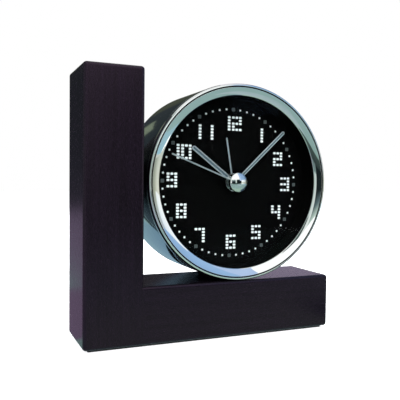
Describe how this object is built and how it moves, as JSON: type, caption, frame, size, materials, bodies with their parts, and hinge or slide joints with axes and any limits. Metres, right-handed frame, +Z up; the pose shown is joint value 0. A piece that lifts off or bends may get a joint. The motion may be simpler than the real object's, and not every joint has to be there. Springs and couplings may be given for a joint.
{
  "type": "desk alarm clock",
  "caption": "Round steel quartz alarm clock with a dot-numeral black dial, resting in the corner of an L-shaped dark wooden stand.",
  "frame": {"origin": "on the table, in the middle of the stand's footprint, on the underside of the base felt", "axes": "+Z up, -Y the way the dial faces, +X along the base away from the upright"},
  "size_m": [0.1214, 0.0412, 0.121],
  "materials": {
    "lacquered_wood": "satin dark lacquer",
    "plain_wood": "plain turned beech",
    "felt": "black felt",
    "rubber_black": "matt black rubber",
    "zinc_steel": "zinc plated",
    "case_steel": "brushed and polished steel",
    "bezel_chrome": "bright chrome plate",
    "lens_glass": "clear mineral glass",
    "dial_black": "matt black paint",
    "dial_white": "printed ink",
    "hand_silver": "satin silver",
    "black_plastic": "moulded black",
    "switch_red": "moulded red",
    "white_acetal": "moulded acetal",
    "brass_parts": "turned brass",
    "stem_steel": "turned steel",
    "magnet": "sintered magnet",
    "core_iron": "stamped soft iron",
    "copper_wire": "enamelled copper wire",
    "spring_contact": "nickel plated spring strip",
    "circuit_green": "solder mask",
    "black_component": "moulded black",
    "crystal_can": "drawn can",
    "battery_jacket": "plain printed sleeve"
  },
  "bodies": {
    "clock_body": {"stand_upright": "lacquered_wood", "stand_base": "lacquered_wood", "stand_dowels": "plain_wood", "base_felt": "felt", "saddle_pad": "rubber_black", "case_nut_plate": "zinc_steel", "case_screws": "zinc_steel", "case_washers": "zinc_steel", "drum_case": "case_steel", "bezel": "bezel_chrome", "lens": "lens_glass", "lens_gasket": "rubber_black", "dial": "dial_black", "dial_print": "dial_white", "dial_ring": "black_plastic", "stator": "core_iron", "coil_core": "core_iron", "coil_winding": "copper_wire", "alarm_contact": "spring_contact", "middle_plate": "black_plastic", "rear_bridge": "black_plastic", "movement_front": "black_plastic", "movement_rear": "black_plastic", "circuit_board": "circuit_green", "buzzer": "black_component", "quartz_crystal": "crystal_can", "driver_chip": "black_component", "battery": "battery_jacket", "contact_positive": "spring_contact", "contact_negative": "spring_contact", "movement_mount": "black_plastic", "movement_screws": "zinc_steel", "back_cover": "black_plastic", "cover_screws": "zinc_steel"},
    "minute_body": {"minute_hand": "hand_silver", "cannon_pinion": "brass_parts"},
    "hour_body": {"hour_hand": "hand_silver", "hour_wheel": "white_acetal"},
    "minute_wheel_body": {"minute_wheel": "white_acetal"},
    "time_knob_body": {"time_set_stem": "stem_steel", "time_set_knob": "black_plastic"},
    "second_body": {"second_hand": "hand_silver", "centre_cap": "bezel_chrome", "second_wheel": "brass_parts"},
    "third_wheel_body": {"third_wheel": "white_acetal"},
    "centre_wheel_body": {"centre_wheel": "white_acetal"},
    "intermediate_wheel_body": {"intermediate_wheel": "white_acetal"},
    "rotor_body": {"rotor": "magnet"},
    "alarm_body": {"alarm_hand": "hand_silver", "alarm_wheel": "white_acetal"},
    "alarm_idler_body": {"alarm_idler": "white_acetal"},
    "alarm_knob_body": {"alarm_set_stem": "stem_steel", "alarm_set_knob": "black_plastic"},
    "switch_body": {"alarm_switch": "switch_red"},
    "door_body": {"battery_door": "black_plastic"}
  },
  "joints": [
    {"name": "minute_turn", "type": "hinge", "parent": "clock_body", "child": "minute_body", "pos_m": [0.0125, 0, 0.0719], "axis": [0, 1, 0], "continuous": true},
    {"name": "hour_turn", "type": "hinge", "parent": "clock_body", "child": "hour_body", "pos_m": [0.0125, 0, 0.0719], "axis": [0, 1, 0], "continuous": true},
    {"name": "minute_wheel_turn", "type": "hinge", "parent": "clock_body", "child": "minute_wheel_body", "pos_m": [0.0029, 0, 0.0719], "axis": [0, 1, 0], "continuous": true},
    {"name": "time_knob_turn", "type": "hinge", "parent": "clock_body", "child": "time_knob_body", "pos_m": [-0.0067, 0, 0.0719], "axis": [0, 1, 0], "continuous": true},
    {"name": "second_turn", "type": "hinge", "parent": "clock_body", "child": "second_body", "pos_m": [0.0125, 0, 0.0719], "axis": [0, 1, 0], "continuous": true},
    {"name": "third_wheel_turn", "type": "hinge", "parent": "clock_body", "child": "third_wheel_body", "pos_m": [0.00614, 0, 0.07826], "axis": [0, 1, 0], "continuous": true},
    {"name": "centre_wheel_turn", "type": "hinge", "parent": "clock_body", "child": "centre_wheel_body", "pos_m": [0.0125, 0, 0.0719], "axis": [0, 1, 0], "continuous": true},
    {"name": "intermediate_wheel_turn", "type": "hinge", "parent": "clock_body", "child": "intermediate_wheel_body", "pos_m": [0.01886, 0, 0.07826], "axis": [0, 1, 0], "continuous": true},
    {"name": "rotor_turn", "type": "hinge", "parent": "clock_body", "child": "rotor_body", "pos_m": [0.02707, 0, 0.08046], "axis": [0, 1, 0], "continuous": true},
    {"name": "alarm_turn", "type": "hinge", "parent": "clock_body", "child": "alarm_body", "pos_m": [0.0125, 0, 0.0719], "axis": [0, 1, 0], "continuous": true},
    {"name": "alarm_idler_turn", "type": "hinge", "parent": "clock_body", "child": "alarm_idler_body", "pos_m": [0.0237, 0, 0.0719], "axis": [0, 1, 0], "continuous": true},
    {"name": "alarm_knob_turn", "type": "hinge", "parent": "clock_body", "child": "alarm_knob_body", "pos_m": [0.0317, 0, 0.0719], "axis": [0, 1, 0], "continuous": true},
    {"name": "alarm_switch_slide", "type": "slide", "parent": "clock_body", "child": "switch_body", "axis": [1, 0, 0], "range_m": [0, 0.003]},
    {"name": "battery_door_hinge", "type": "hinge", "parent": "clock_body", "child": "door_body", "pos_m": [0.0125, 0.01695, 0.04395], "axis": [-1, 0, 0], "range_deg": [0, 100]}
  ],
  "couplings": [
    {"joint": "hour_turn", "follows": "minute_turn", "ratio": 0.083333},
    {"joint": "minute_wheel_turn", "follows": "minute_turn", "ratio": -0.33333},
    {"joint": "time_knob_turn", "follows": "minute_turn", "ratio": 1},
    {"joint": "third_wheel_turn", "follows": "second_turn", "ratio": -0.13333},
    {"joint": "centre_wheel_turn", "follows": "second_turn", "ratio": 0.016667},
    {"joint": "intermediate_wheel_turn", "follows": "second_turn", "ratio": -4},
    {"joint": "rotor_turn", "follows": "second_turn", "ratio": 30},
    {"joint": "alarm_idler_turn", "follows": "alarm_turn", "ratio": -1.8},
    {"joint": "alarm_knob_turn", "follows": "alarm_turn", "ratio": 1.8}
  ]
}
